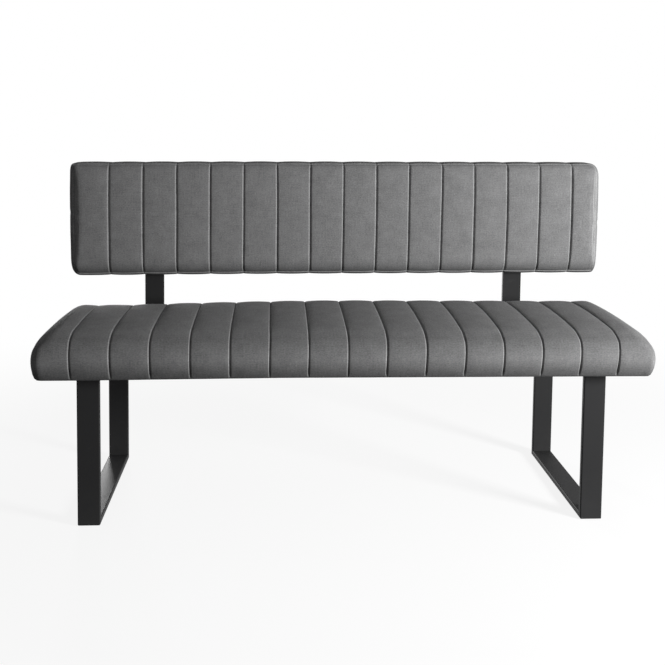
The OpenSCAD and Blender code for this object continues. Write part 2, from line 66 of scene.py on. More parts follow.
lens = bpy.data.cameras.new("view")
lens.sensor_width = film_width
lens.lens = focal_px / frame_px * film_width
lens.shift_x = (frame_px / 2 - centre_px[0]) / frame_px
lens.shift_y = (centre_px[1] - frame_px / 2) / frame_px
camera = bpy.data.objects.new("view", lens)
camera.matrix_world = Matrix.Translation(camera_place) @ camera_turn.to_4x4()
scene.collection.objects.link(camera)
scene.camera = camera
scene.view_settings.view_transform = "Standard"


# The studio: a pale floor that runs out into a white background, a soft lamp at the
# front right and a low one behind the bench on the left. The floor keeps the shadow.
def node(tree, kind, ins=None, **settings):
    """One shader node, with its settings, and its inputs set or linked"""
    made = tree.nodes.new("ShaderNode" + kind)
    for name, value in settings.items():
        setattr(made, name, value)
    for name, value in (ins or {}).items():
        if isinstance(value, bpy.types.NodeSocket):
            tree.links.new(value, made.inputs[name])
        else:
            made.inputs[name].default_value = value
    return made


def calc(tree, operation, *values):
    """The result of one sum on values or sockets"""
    return node(tree, "Math", dict(enumerate(values)), operation=operation).outputs[0]


def seen_directly(tree):
    """1 for rays from the camera, a mirror or clear glass, and 0 for light on the object"""
    path = node(tree, "LightPath").outputs
    mirror_or_glass = calc(tree, "MAXIMUM", path["Is Glossy Ray"], path["Is Transmission Ray"])
    return calc(tree, "MAXIMUM", path["Is Camera Ray"], mirror_or_glass)


def blank_material(name):
    """A material whose node tree is still empty"""
    made = bpy.data.materials.new(name)
    made.use_nodes = True
    made.node_tree.nodes.clear()
    return made


paper_white = (1, 1, 1, 1)
room_light, backdrop_light = 0.21, 1.0
world = bpy.data.worlds.new("studio")
world.use_nodes = True
scene.world = world
tree = world.node_tree
tree.nodes.clear()
lit = node(tree, "Background", {"Color": paper_white, "Strength": room_light})
backdrop = node(tree, "Background", {"Color": paper_white, "Strength": backdrop_light})
both = node(tree, "MixShader", {0: seen_directly(tree), 1: lit.outputs[0], 2: backdrop.outputs[0]})
node(tree, "OutputWorld", {"Surface": both.outputs[0]})

# A little of the floor's own shade shows near the bench, and none from shadow_far on
floor_reach = 30.0
shadow_near, shadow_far = 0.8, 2.2
floor_lift = 0.86
floor_seen, floor_lighting = (0.86, 0.86, 0.86, 1), (0.13, 0.13, 0.13, 1)
floor_mesh = bpy.data.meshes.new("floor")
floor_corners = [(x * floor_reach, y * floor_reach, 0) for x, y in ((-1, -1), (1, -1), (1, 1), (-1, 1))]
floor_mesh.from_pydata(floor_corners, [], [(0, 1, 2, 3)])
floor = bpy.data.objects.new("floor", floor_mesh)
scene.collection.objects.link(floor)
floor_finish = blank_material("pale_floor")
tree = floor_finish.node_tree
spot = node(tree, "TexCoord").outputs["Object"]
distance = node(tree, "VectorMath", {0: spot}, operation="LENGTH").outputs["Value"]
faded = node(tree, "MapRange", {"Value": calc(tree, "DIVIDE", distance, shadow_far),
                                "From Min": shadow_near / shadow_far, "From Max": 1.0,
                                "To Min": floor_lift, "To Max": 1.0},
             interpolation_type="SMOOTHSTEP").outputs[0]
seen = seen_directly(tree)
matt_colour = node(tree, "Mix", {0: seen, 6: floor_lighting, 7: floor_seen}, data_type="RGBA").outputs[2]
matt = node(tree, "BsdfDiffuse", {"Color": matt_colour})
glow = node(tree, "Emission", {"Color": paper_white, "Strength": backdrop_light})
mixed = node(tree, "MixShader", {0: calc(tree, "MULTIPLY", faded, seen),
                                 1: matt.outputs[0], 2: glow.outputs[0]})
from_under = node(tree, "NewGeometry").outputs["Backfacing"]
one_sided = node(tree, "MixShader", {0: from_under, 1: mixed.outputs[0],
                                     2: node(tree, "BsdfTransparent").outputs[0]})
node(tree, "OutputMaterial", {"Surface": one_sided.outputs[0]})
floor_mesh.materials.append(floor_finish)


def soft_lamp(name, place, aim, size, power):
    """A square lamp, turned to face the place that it is aimed at"""
    lamp = bpy.data.lights.new(name, "AREA")
    lamp.shape = "SQUARE"
    lamp.size = size
    lamp.energy = power
    stand = bpy.data.objects.new(name, lamp)
    stand.location = place
    stand.rotation_euler = (Vector(aim) - Vector(place)).to_track_quat("-Z", "Y").to_euler()
    scene.collection.objects.link(stand)


soft_lamp("right_lamp", place=(2.1, -1.45, 0.87), aim=(0.0, 0.0, 0.5), size=0.5, power=110)
soft_lamp("rear_lamp", place=(-1.1, 3.0, 0.30), aim=(0.0, 0.2, 0.5), size=0.5, power=90)


# The seat cushion: a cover of grey upholstery cloth sewn in sixteen channels, drawn over
# a foam block and its wooden frame, and turned under at the bottom.
def arc(y, z, radius, start, end, count):
    """Points on an arc seen along X, its angles in degrees"""
    angles = np.radians(np.linspace(start, end, count + 1))
    return np.stack([y + radius * np.cos(angles), z + radius * np.sin(angles)], axis=1)


def line(start, end, count, bow=(0, 0)):
    """Points on a line seen along X, bowed out by at most that much"""
    share = np.linspace(0, 1, count + 1)[:, None]
    straight = np.array(start) + share * (np.array(end) - np.array(start))
    return straight + 4 * share * (1 - share) * np.array(bow)


def side_of_ring(*pieces):
    """Pieces of an outline one after the other, each starting where the last one ended"""
    return np.concatenate([pieces[0]] + [p[1:] for p in pieces[1:]])


def ring_from(front, top, rear, bottom):
    """A closed outline, front side first, and how many steps its front and its top have"""
    ring = np.concatenate([side[:-1] for side in (front, top, rear, bottom)])
    return ring, len(front) - 1, len(top) - 1


def fall_back(distance, radius):
    """How far a quarter round has fallen back at that distance from its end"""
    return radius - np.sqrt(radius ** 2 - np.clip(radius - distance, 0, radius) ** 2)


def pad_points(xs, ring, steps, lo, hi, corners, cap_swell=0.0, taper=(0, 0), droop=(0, 0)):
    """Points of a pad: a ring at each x, smaller towards the ends, and a grid on each end.
    corners has, for the left and the right end, the radii at the front, rear, bottom and top.
    taper draws the rear corners in, and droop lets the rear edge of an end hang."""
    droop_growth, droop_bend = 1.27, 1.5
    n_front, n_top = steps
    middle, half_width = (lo.x + hi.x) / 2, (hi.x - lo.x) / 2
    near = np.minimum(xs - lo.x, hi.x - xs)
    on_left = (xs < middle)[:, None]
    radii = np.where(on_left, corners[0], corners[1])
    front, rear, bottom, top = fall_back(near[:, None], radii).T[:, :, None]
    share_y = (ring[:, 0] - lo.y) / (hi.y - lo.y)
    share_z = (ring[:, 1] - lo.z) / (hi.z - lo.z)
    outward = np.sign(xs - middle)[:, None]
    out = (np.abs(xs - middle) / half_width)[:, None]
    drawn_in = outward * np.where(on_left, *taper) * np.clip(2 * out - 1, 0, 1)
    hanging = np.where(on_left, *droop) * np.clip(droop_growth * out, 0, 1) ** droop_bend
    x = xs[:, None] - drawn_in * share_y
    y = lo.y + front + share_y * (hi.y - lo.y - front - rear)
    z = lo.z + bottom + share_z * (hi.z - lo.z - bottom - top)
    z = z - hanging * share_y * share_z
    rings = np.stack([x, y, z], axis=2)
    grids = []
    for end, side in ((0, -1), (-1, 1)):
        r = rings[end]
        edge_front, edge_top = r[:n_front + 1], r[n_front:n_front + n_top + 1]
        edge_rear = r[n_front + n_top:2 * n_front + n_top + 1][::-1]
        edge_bottom = np.concatenate([r[2 * n_front + n_top:], r[:1]])[::-1]
        u = np.linspace(0, 1, n_top + 1)[1:-1, None, None]
        v = np.linspace(0, 1, n_front + 1)[None, 1:-1, None]
        grid = ((1 - v) * edge_bottom[1:-1, None] + v * edge_top[1:-1, None]
                + (1 - u) * edge_front[None, 1:-1] + u * edge_rear[None, 1:-1]
                - (1 - u) * (1 - v) * r[0] - (1 - u) * v * edge_top[0]
                - u * (1 - v) * edge_bottom[-1] - u * v * edge_top[-1])
        dome = 16 * u * (1 - u) * v * (1 - v)
        grid[:, :, :1] += side * cap_swell * dome ** 2
        grids.append(grid.reshape(-1, 3))
    return np.concatenate([rings.reshape(-1, 3)] + grids)


def pad_faces(n_rings, steps):
    """The faces between the rings and over both ends"""
    n_front, n_top = steps
    m = 2 * (n_front + n_top)
    faces = [(i * m + j, (i + 1) * m + j, (i + 1) * m + (j + 1) % m, i * m + (j + 1) % m)
             for i in range(n_rings - 1) for j in range(m)]
    for end in (0, 1):
        first = end * (n_rings - 1) * m
        grid = n_rings * m + end * (n_top - 1) * (n_front - 1)

        def at(u, v):
            if u == 0:
                return first + v
            if v == n_front:
                return first + n_front + u
            if u == n_top:
                return first + 2 * n_front + n_top - v
            if v == 0:
                return first + (m - u) % m
            return grid + (u - 1) * (n_front - 1) + v - 1

        for u in range(n_top):
            for v in range(n_front):
                quad = (at(u, v), at(u + 1, v), at(u + 1, v + 1), at(u, v + 1))
                faces.append(quad if end else quad[::-1])
    return faces


def smooth_mesh(name, points, faces):
    """An object with smooth shading, added to the scene"""
    mesh = bpy.data.meshes.new(name)
    mesh.from_pydata(np.asarray(points).tolist(), [], faces)
    mesh.shade_smooth()
    mesh.update()
    made = bpy.data.objects.new(name, mesh)
    scene.collection.objects.link(made)
    return made


def points_of(mesh):
    """The places of a mesh's points, a row for each"""
    places = np.zeros(len(mesh.vertices) * 3)
    mesh.vertices.foreach_get("co", places)
    return places.reshape(-1, 3)


def move_points(mesh, places):
    """Puts a mesh's points in new places"""
    mesh.vertices.foreach_set("co", places.ravel())
    mesh.update()


def cloth_travel(points, faces, sewn, most):
    """How far each point moves when the cover is filled, held where it is sewn or stapled"""
    last_step = 20
    trial = smooth_mesh("cover_trial", points, faces)
    trial.vertex_groups.new(name="sewn").add(np.flatnonzero(sewn).tolist(), 1.0, "REPLACE")
    cloth = trial.modifiers.new("cover", "CLOTH")
    cloth.settings.quality = 5
    cloth.settings.mass = 0.3
    cloth.settings.use_pressure = True
    cloth.settings.uniform_pressure_force = 4.0
    cloth.settings.vertex_group_mass = "sewn"
    cloth.settings.effector_weights.gravity = 0.0
    cloth.point_cache.frame_start, cloth.point_cache.frame_end = 1, last_step
    for step in range(1, last_step + 1):
        scene.frame_set(step)
    filled = trial.evaluated_get(bpy.context.evaluated_depsgraph_get())
    travel = points_of(filled.data) - points
    length = np.linalg.norm(travel, axis=1, keepdims=True)
    scene.frame_set(1)
    mesh = trial.data
    bpy.data.objects.remove(trial)
    bpy.data.meshes.remove(mesh)
    return travel * np.minimum(1, most / np.maximum(length, 1e-9))


def carried_over(travel, xs_from, xs_to, ring_size):
    """The travel of a coarse pad's points, spread over a finer pad of the same outline"""
    smoothing_rounds = 24
    on_rings = len(xs_from) * ring_size
    coarse = travel[:on_rings].reshape(len(xs_from), ring_size * 3)
    fine = np.stack([np.interp(xs_to, xs_from, column) for column in coarse.T], axis=1)
    for _ in range(smoothing_rounds):
        fine[1:-1] = (fine[:-2] + 2 * fine[1:-1] + fine[2:]) / 4
    return np.concatenate([fine.reshape(-1, 3), travel[on_rings:]])


def stations(lo, hi, seams, offsets, end_radii, end_steps):
    """Places along X for a pad's rings: at set offsets from each seam, and close together
    at the round ends"""
    end_gap, closest = 0.003, 0.0003
    round_end = max(end_radii)
    places = [s + o for s in seams for o in offsets] + [s - o for s in seams for o in offsets]
    half = (seams[1] - seams[0]) / 2
    places = [p for p in places if lo.x + round_end + end_gap < p < hi.x - round_end - end_gap]
    for s in (seams[0] - half, seams[-1] + half):
        places += [s + o for o in np.linspace(-half, 0, 5) if lo.x + round_end < s + o < hi.x - round_end]
    for radius in end_radii:
        ends = radius * (1 - np.cos(np.radians(np.linspace(0, 90, end_steps + 1))))
        places += list(lo.x + ends) + list(hi.x - ends)
    places = np.unique(np.round(places, 5))
    return places[np.concatenate([[True], np.diff(places) > closest])]


def uneven(rng, t, waves, size):
    """A smooth uneven line over t, at most about that size"""
    total = np.zeros_like(t, dtype=float)
    for k in range(1, waves + 1):
        total += rng.normal() / k * np.sin(2 * math.pi * (k * t + rng.random()))
    return size * total / 1.5


def pinch(distance, width, bend):
    """1 in the bottom of a seam's groove and 0 past its shoulder. A larger bend gives softer sides."""
    return (1 - np.clip(distance / width, 0, 1)) ** bend


channels = 16
seat_lo, seat_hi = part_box("seat_cover")
pitch = (seat_hi.x - seat_lo.x) / channels
puff_height, puff_bend, puff_level = 0.0024, 2.2, 0.35
beside_seams = np.array([0, .6, 1.5, 2.4, 3.3, 4.0, 5.2, 6.8, 8.6, 11, 15, 21, 29, 36]) / 1000

# The seat's side profile: the front turns under in a long curve, comes over the brow in
# three more, the close one in the middle in two parts, and the top rises to the rear
seat_front_y, seat_brow_z = seat_lo.y - 0.005, 0.424
hem_r, low_r, seat_rear_r, rear_hem_r = 0.010, 0.095, 0.065, 0.010
brow_curves = ((0.045, 180, 150, 4), (0.022, 150, 135, 3), (0.022, 135, 118, 3), (0.130, 118, 96, 8))
seat_rear_z, seat_crown = 0.4765, 0.0040
seat_corners = np.array([(0.027, 0.050, 0.015, 0.057), (0.018, 0.040, 0.0155, 0.055)])
seat_groove, seat_hem_hang = (0.0042, 0.0033, 0.0040), 0.0040
# Painted light on the seat's cover, by height over its bottom: painted shade darkens the lower front most
# and the brow and the top less, and a faint painted highlight pales the band across the front
seat_painted_light = ((0.0, 0.006, 0.013, 0.020, 0.031, 0.046, 0.058, 0.067, 0.076, 0.084, 0.092, 0.100, 0.112),
            (0.48, 0.60, 0.66, 0.72, 0.88, 1.03, 0.94, 0.86, 0.78, 0.75, 0.79, 0.92, 0.94))
seat_cap_swell, seat_travel = 0.002, 0.0028
seat_taper, seat_droop = (0.002, 0.008), (0.0145, 0.0020)


def curves_on(start, curves):
    """Arcs that follow on from a point, each turned from one angle to the next"""
    made = []
    for radius, turn_from, turn_to, count in curves:
        spoke = np.radians(turn_from)
        y, z = np.array(start) - radius * np.array([math.cos(spoke), math.sin(spoke)])
        made.append(arc(y, z, radius, turn_from, turn_to, count))
        start = made[-1][-1]
    return made


y0, y1, z0, brow_z = seat_front_y, seat_hi.y, seat_lo.z, seat_brow_z
under = math.degrees(math.asin((brow_z - z0 - hem_r) / (low_r - hem_r)))
hem_y, hem_z = y0 + low_r - (low_r - hem_r) * math.cos(math.radians(under)), z0 + hem_r
brow = curves_on((y0, brow_z), brow_curves)
rear_z, hem_mid = seat_rear_z - seat_rear_r, (270 + 180 + under) / 2
crown_run, crown_rise = y1 - seat_rear_r - brow[-1][-1][0], seat_rear_z - brow[-1][-1][1]
rear_turn = 90 + math.degrees(math.atan((crown_rise - 4 * seat_crown) / crown_run))
over_rear = arc(y1 - seat_rear_r, rear_z, seat_rear_r, rear_turn, 45, 8)
seat_ring, *seat_steps = ring_from(
    side_of_ring(arc(hem_y, hem_z, hem_r, hem_mid, 180 + under, 3),
                 arc(y0 + low_r, brow_z, low_r, 180 + under, 180, 9), brow[0], brow[1]),
    side_of_ring(brow[2], brow[3], line(brow[3][-1], over_rear[0], 32, (0, seat_crown)), over_rear),
    side_of_ring(arc(y1 - seat_rear_r, rear_z, seat_rear_r, 45, 0, 8),
                 line((y1, rear_z), (y1, z0 + rear_hem_r), 7),
                 arc(y1 - rear_hem_r, z0 + rear_hem_r, rear_hem_r, 0, -45, 4)),
    side_of_ring(arc(y1 - rear_hem_r, z0 + rear_hem_r, rear_hem_r, -45, -90, 4),
                 line((y1 - rear_hem_r, z0), (hem_y, z0), 44),
                 arc(hem_y, hem_z, hem_r, 270, hem_mid, 3)))


def seat_sewn(ring, lo, hi):
    """How deep the seams are round the seat: full over the front, less over the top, gone at
    the hem and the rear"""
    hem_gap, hem_run, rear_gap, rear_run = 0.002, 0.010, 0.004, 0.022
    rising = np.clip((ring[:, 1] - lo.z - hem_gap) / hem_run, 0, 1)
    to_rear = np.clip((hi.y - rear_gap - ring[:, 0]) / rear_run, 0, 1)
    return rising * to_rear * np.interp(ring[:, 0] - lo.y, (0.0, 0.10, 0.34), (1.0, 0.72, 0.50))


def filled_travel(shape, xs, seams, shares, held, most, end_radius):
    """How far a cover's points move when it is filled between its seams, found on fewer rings.
    The points that held marks are fixed, and those of a seam where it is sewn."""
    steps_to_middle, end_steps, on_seam = 4, 5, 1e-4
    offsets = pitch / 2 / steps_to_middle * np.arange(steps_to_middle + 1)
    coarse = stations(shape["lo"], shape["hi"], seams, offsets, [end_radius], end_steps)
    trial = pad_points(coarse, **shape)
    from_seams = np.abs(coarse[:, None] - seams)
    seam_there = np.min(from_seams, axis=1) < on_seam
    sewn = (seam_there[:, None] & (shares[np.argmin(from_seams, axis=1)] > 0)) | held
    sewn = np.concatenate([sewn.ravel(), np.zeros(len(trial) - sewn.size, bool)])
    moved = cloth_travel(trial, pad_faces(len(coarse), shape["steps"]), sewn, most)
    return carried_over(moved, coarse, xs, len(shape["ring"]))


def seam_relief(shape, xs, seams, shares, seed, groove_sizes, puffed):
    """How deep each point of the rings goes in along its normal and how far it shifts along X,
    with how far its seam is and how deep that is there. No seam is quite straight or even."""
    groove_depth, steep_width, soft_width = groove_sizes
    steep_bend, soft_bend = 1.15, 1.9
    shift_reach, end_reach = 0.02, 0.05
    rng = np.random.default_rng(seed)
    t = np.linspace(0, 1, len(shape["ring"]))
    wander = np.array([uneven(rng, t, waves=7, size=0.0007) for _ in seams])
    deeper = np.array([uneven(rng, t, waves=9, size=0.12) for _ in seams])
    wider = np.array([uneven(rng, t, waves=6, size=0.10) for _ in seams])
    nearest = np.argmin(np.abs(xs[:, None] - seams), axis=1)
    share = shares[nearest]
    beside = (xs - seams[nearest])[:, None]
    away = np.abs(beside)
    steep = pinch(away, steep_width * (1 + wider[nearest]), steep_bend)
    soft = pinch(away, soft_width * (1 + wider[nearest]), soft_bend)
    inward = groove_depth * share * (1 + deeper[nearest]) * np.where(beside < 0, steep, soft)
    up_to_middle = np.clip(away / (pitch / 2), 0, 1)
    from_end = np.minimum(xs - shape["lo"].x, shape["hi"].x - xs)[:, None]
    from_end = np.clip(from_end / end_reach, 0, 1)
    inward += puff_height * puffed * from_end * ((1 - up_to_middle) ** puff_bend - puff_level)
    shifted = wander[nearest] * share * np.exp(-(away / shift_reach) ** 2)
    return inward, shifted, away, share


def laid_flat(cushion, points, ring, n_rings):
    """Where each corner of a cushion's faces lies on its cloth: along X and round the ring, or
    for the faces of an end along Y and Z"""
    closed = np.concatenate([ring, ring[:1]])
    along = np.concatenate([[0], np.cumsum(np.linalg.norm(np.diff(closed, axis=0), axis=1))])
    corner_points = np.zeros(len(cushion.data.loops), int)
    cushion.data.loops.foreach_get("vertex_index", corner_points)
    on_rings = (n_rings - 1) * len(ring) * 4
    step_round = np.tile(np.arange(len(ring))[:, None] + (0, 0, 1, 1), (n_rings - 1, 1))
    laid = np.zeros((len(corner_points), 3))
    laid[:, :2] = points[corner_points][:, 1:]
    laid[:on_rings, 0] = points[corner_points[:on_rings], 0]
    laid[:on_rings, 1] = along[step_round.ravel()]
    return laid


def lay_cloth(piece, laid, seam_near, painted_light):
    """Records where each corner of a face lies on the flat cloth, how far each point is from
    a seam, and the painted light that scales its colour as painted shade or highlight"""
    mesh = piece.data
    mesh.attributes.new("painted_light", "FLOAT", "POINT").data.foreach_set("value", painted_light)
    mesh.attributes.new("cloth_place", "FLOAT_VECTOR", "CORNER").data.foreach_set("vector", laid.ravel())
    mesh.attributes.new("seam_near", "FLOAT", "POINT").data.foreach_set("value", seam_near.ravel())
    mesh.update()


def sewn_cushion(name, shape, seams, shares, held, travel, seed, painted_light, groove_sizes, puffed, end_steps=9):
    """A cover filled by cloth simulation between its sewn seams, with their grooves cut in after.
    shape is what pad_points needs, and the painted-light table has heights over the bottom and how far the
    cloth's colour is darkened or paled there, as painted shade and highlight."""
    no_seam, faint_share, faint_off = 1.0, 0.12, 0.02
    ring, lo, hi = shape["ring"], shape["lo"], shape["hi"]
    end_radii = sorted(set(np.round(shape["corners"].ravel(), 4)))[-2:]
    xs = stations(lo, hi, seams, beside_seams, end_radii, end_steps)
    points = pad_points(xs, **shape)
    points += filled_travel(shape, xs, seams, shares, held, travel, end_radii[-1])
    cushion = smooth_mesh(name, points, pad_faces(len(xs), shape["steps"]))
    normals = np.zeros(len(points) * 3)
    cushion.data.vertex_normals.foreach_get("vector", normals)
    normals = normals.reshape(-1, 3)
    inward, shifted, away, share = seam_relief(shape, xs, seams, shares, seed, groove_sizes, puffed)
    on_rings = inward.size
    points[:on_rings] -= normals[:on_rings] * inward.reshape(-1, 1)
    points[:on_rings, 0] += shifted.ravel()
    move_points(cushion.data, points)
    # Where a seam is faint its distance is pushed out, so that no painted seam shade or highlight lands on
    # it
    seam_near = np.full(len(points), no_seam)
    seam_near[:on_rings] = (away + faint_off * (share < faint_share)).ravel()
    square_ended = pad_points(xs, ring, shape["steps"], lo, hi, 0 * shape["corners"])
    # Painted shade and highlight, read off by height over the bottom as if the ends were square
    painted_light_level = np.interp(square_ended[:, 2] - lo.z, *painted_light)
    lay_cloth(cushion, laid_flat(cushion, points, ring, len(xs)), seam_near, painted_light_level)
    return cushion, normals


def new_group(name, ins, outs):
    """A shader node group with named inputs and outputs, and its input sockets by name"""
    group = bpy.data.node_groups.new(name, "ShaderNodeTree")
    for label, kind, value in ins:
        socket = group.interface.new_socket(name=label, in_out="INPUT", socket_type="NodeSocket" + kind)
        socket.default_value = value
    for label, kind in outs:
        group.interface.new_socket(name=label, in_out="OUTPUT", socket_type="NodeSocket" + kind)
    return group, group.nodes.new("NodeGroupInput").outputs


def close_group(group, **results):
    """Links a group's results to its outputs"""
    end = group.nodes.new("NodeGroupOutput")
    for name, socket in results.items():
        group.links.new(socket, end.inputs[name])


def tinted(tree, share, first, second):
    """One colour mixed with another"""
    return node(tree, "Mix", {0: share, 6: first, 7: second}, data_type="RGBA").outputs[2]


def spread(tree, value, base, span):
    """base where a value is 0, and base + span where it is 1"""
    return calc(tree, "ADD", base, calc(tree, "MULTIPLY", value, span))


def noise(tree, place, scale, detail=3.0, rough=0.5, stretch=(1, 1, 1)):
    """Even noise over a place, stretched if need be"""
    stretched = node(tree, "Mapping", {"Vector": place, "Scale": stretch}).outputs[0]
    return node(tree, "TexNoise", {"Vector": stretched, "Scale": scale, "Detail": detail,
                                   "Roughness": rough}).outputs[0]


def ramp(tree, value, start, end, first, last):
    """first at one value and last at another, even in between"""
    return node(tree, "MapRange", {"Value": value, "From Min": start, "From Max": end,
                                   "To Min": first, "To Max": last}).outputs[0]


def bump(tree, height, strength, depth, **under):
    """A normal with a relief of that depth, on top of another normal if one is given"""
    ins = {"Height": height, "Strength": strength, "Distance": depth, **under}
    return node(tree, "Bump", ins).outputs[0]


def surface(tree, ins):
    """The material's surface, from what goes into its shader"""
    node(tree, "OutputMaterial", {"Surface": node(tree, "BsdfPrincipled", ins).outputs[0]})


weave, inp = new_group("woven cloth",
                       [("Place", "Vector", (0, 0, 0)), ("Colour", "Color", (0.5, 0.5, 0.5, 1)),
                        ("Threads", "Float", 1100.0), ("Mottle", "Float", 0.1)],
                       [("Colour", "Color"), ("Roughness", "Float"), ("Height", "Float")])
thread_waver = (0.0012, 0.0012, 0)
streak_weight, cloud_weight, fleck_weight = 0.85, 0.95, 2.1
waver = noise(weave, inp["Place"], scale=60.0, detail=2.0)
bent = node(weave, "VectorMath", {0: waver, 1: thread_waver}, operation="MULTIPLY").outputs[0]
place = node(weave, "VectorMath", {0: inp["Place"], 1: bent}, operation="ADD").outputs[0]
axes = node(weave, "SeparateXYZ", {0: place}).outputs
warp, weft = (calc(weave, "MULTIPLY", axes[k], inp["Threads"]) for k in (0, 1))
whole = calc(weave, "ADD", calc(weave, "FLOOR", warp), calc(weave, "FLOOR", weft))
over = calc(weave, "ROUND", calc(weave, "PINGPONG", whole, 1.0))
crests = [calc(weave, "ABSOLUTE", calc(weave, "SINE", calc(weave, "MULTIPLY", thread, math.pi)))
          for thread in (warp, weft)]
crest = node(weave, "Mix", {0: over, 2: crests[0], 3: crests[1]}, data_type="FLOAT").outputs[0]
streaks = calc(weave, "ADD",
               noise(weave, inp["Place"], scale=32.0, detail=5.0, rough=0.65, stretch=(1, 9, 1)),
               noise(weave, inp["Place"], scale=32.0, detail=5.0, rough=0.65, stretch=(9, 1, 1)))
clouds = noise(weave, inp["Place"], scale=28.0, detail=5.0, rough=0.6)
streak_shade = calc(weave, "MULTIPLY", calc(weave, "SUBTRACT", streaks, 1.0), streak_weight)
cloud_shade = calc(weave, "MULTIPLY", calc(weave, "SUBTRACT", clouds, 0.5), cloud_weight)
flecks = noise(weave, inp["Place"], scale=380.0, detail=2.0, rough=0.6, stretch=(0.6, 1.3, 1))
fleck_shade = calc(weave, "MULTIPLY", calc(weave, "SUBTRACT", flecks, 0.5), fleck_weight)
uneven_shade = calc(weave, "ADD", calc(weave, "ADD", streak_shade, cloud_shade), fleck_shade)
shade = spread(weave, uneven_shade, 1.0, inp["Mottle"])
thread_shade = spread(weave, crest, 0.84, 0.24)
dyed = node(weave, "VectorMath", {0: inp["Colour"], "Scale": calc(weave, "MULTIPLY", shade, thread_shade)},
            operation="SCALE").outputs[0]
close_group(weave, Colour=dyed, Roughness=spread(weave, crest, 0.97, -0.1),
            Height=calc(weave, "MULTIPLY", crest, spread(weave, clouds, 0.7, 0.6)))

# The paler grey is a painted highlight on the cloth within a few millimetres of each seam
cloth_grey, seam_highlight_grey = (0.165, 0.165, 0.166, 1), (0.32, 0.32, 0.322, 1)
# The darker grey is a painted shade in the bottom of each seam's groove
seam_shade_grey = (0.10, 0.10, 0.101, 1)
# How wide and how strong the painted shade in a seam's bottom is
seam_shade_width, seam_shade_share = 0.0010, 0.85
# Where the painted highlight pales the cloth near a seam, and how much
highlight_start, highlight_full, highlight_share = 0.0042, 0.0030, 0.40
gather_reach, gather_rest = 0.028, 0.12
threads_per_metre, cloth_mottle = 1050.0, 0.52
upholstery = blank_material("grey_upholstery_cloth")
tree = upholstery.node_tree
laid_at = node(tree, "Attribute", attribute_name="cloth_place").outputs["Vector"]
near_seam = node(tree, "Attribute", attribute_name="seam_near").outputs["Fac"]
# The cloth's colour is scaled by the painted light: painted shade and painted highlight by height over each
# cushion's bottom
painted_light = node(tree, "Attribute", attribute_name="painted_light").outputs["Fac"]
# Painted shade in the bottom of each seam, laid over the painted highlight along it
painted_seam_shade = ramp(tree, near_seam, 0.0, seam_shade_width, seam_shade_share, 0.0)
seam_highlight = ramp(tree, near_seam, highlight_start, highlight_full, 0.0, highlight_share)
seam_painted_colour = tinted(tree, painted_seam_shade, tinted(tree, seam_highlight, cloth_grey, seam_highlight_grey), seam_shade_grey)
with_painted_light = node(tree, "VectorMath", {0: seam_painted_colour, "Scale": painted_light}, operation="SCALE").outputs[0]
cloth = node(tree, "Group", {"Place": laid_at, "Colour": with_painted_light, "Threads": threads_per_metre,
                             "Mottle": cloth_mottle}, node_tree=weave).outputs
gathers = noise(tree, laid_at, scale=60.0, stretch=(0.25, 1.6, 1))
gathered = calc(tree, "MULTIPLY", gathers, ramp(tree, near_seam, 0.0, gather_reach, 1.0, gather_rest))
folds = bump(tree, gathered, strength=0.35, depth=0.004)
surface(tree, {"Base Color": cloth["Colour"], "Roughness": cloth["Roughness"],
               "Normal": bump(tree, cloth["Height"], strength=0.4, depth=0.00025, Normal=folds),
               "Specular IOR Level": 0.08, "Sheen Weight": 0.03, "Sheen Roughness": 0.45,
               "Sheen Tint": (0.9, 0.9, 0.9, 1)})

# The seams fade over the top of the seat, most of all at its left end
fade_most, fade_seams, fade_start, fade_run = 0.65, 1.8, 0.02, 0.06
stapled_strip, flat_hem = 0.006, 0.012
seat_seams = seat_lo.x + pitch * np.arange(1, channels)
on_top = np.clip((seat_ring[:, 0] - seat_lo.y - fade_start) / fade_run, 0, 1)
top_fade = fade_most * np.exp(-np.arange(channels - 1) / fade_seams)
seat_shape = dict(ring=seat_ring, steps=seat_steps, lo=seat_lo, hi=seat_hi, corners=seat_corners,
                  cap_swell=seat_cap_swell, taper=seat_taper, droop=seat_droop)
seat, _ = sewn_cushion("seat_cushion", seat_shape, seat_seams,
                       shares=seat_sewn(seat_ring, seat_lo, seat_hi) * (1 - top_fade[:, None] * on_top),
                       held=seat_ring[:, 1] < seat_lo.z + stapled_strip, travel=seat_travel, seed=11,
                       painted_light=seat_painted_light, groove_sizes=seat_groove,
                       puffed=np.clip((seat_ring[:, 1] - seat_lo.z) / flat_hem, 0, 1))

# The hem at the front hangs lower at the left end
hang_start, hang_run, hem_width, hang_height = -0.15, 0.45, 0.008, 0.05
points = points_of(seat.data)
to_left = np.clip((hang_start - points[:, 0]) / hang_run, 0, 1)
in_front = np.clip((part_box("seat_dust_cover")[0].y - points[:, 1]) / hem_width, 0, 1)
low_down = np.clip(1 - (points[:, 2] - seat_lo.z) / hang_height, 0, 1)
points[:, 2] -= seat_hem_hang * to_left * in_front * low_down
move_points(seat.data, points)
seat.data.materials.append(upholstery)
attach(seat, "root")
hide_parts("seat_cover")


# The backrest cushion: its front panel is sewn in sixteen channels and joined to a plain
# border strip by a seam that runs right round the front edge.
back_lo, back_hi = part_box("backrest_cover")
back_edge_r, back_rear_r, back_crown, back_travel, back_seam_shift = 0.017, 0.008, 0.005, 0.0024, 0.0145
back_corners = np.array([(0.027, 0.008, 0.025, 0.012), (0.021, 0.008, 0.010, 0.028)])
back_low_r, back_hem_r, back_low_turn = 0.045, 0.016, 60
